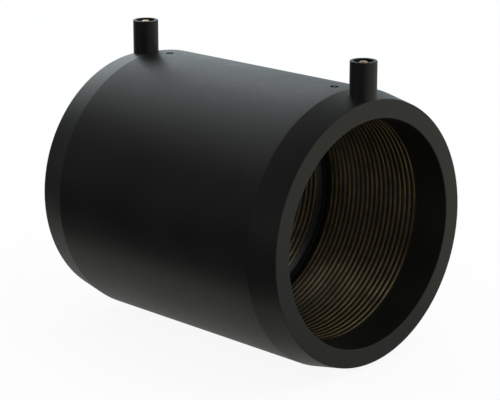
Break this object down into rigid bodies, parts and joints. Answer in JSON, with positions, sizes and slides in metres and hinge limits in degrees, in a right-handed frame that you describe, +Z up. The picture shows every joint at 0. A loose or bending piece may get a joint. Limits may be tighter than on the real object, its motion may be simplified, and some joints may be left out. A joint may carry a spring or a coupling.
{
  "type": "electrofusion coupler",
  "caption": "Black tubular pipe coupler with tapered ends, a wire winding in its bore, a centre stop and two shrouded contact pins.",
  "frame": {"origin": "on the bore's axis at mid-length, in the middle of the pipe stop", "axes": "+X along the bore, towards the right-hand end; +Z up, towards the tips of the two terminals"},
  "size_m": [0.1622, 0.135, 0.15],
  "materials": {
    "body_plastic": "black moulded polyethylene with a soft satin skin",
    "wire_copper": "drawn resistance wire, warm golden brown, dulled",
    "pin_brass": "turned brass, slightly dulled"
  },
  "bodies": {
    "root": {"coupler_body": "body_plastic", "heating_wire": "wire_copper", "terminal_pin_right": "pin_brass", "terminal_pin_left": "pin_brass"}
  },
  "joints": []
}
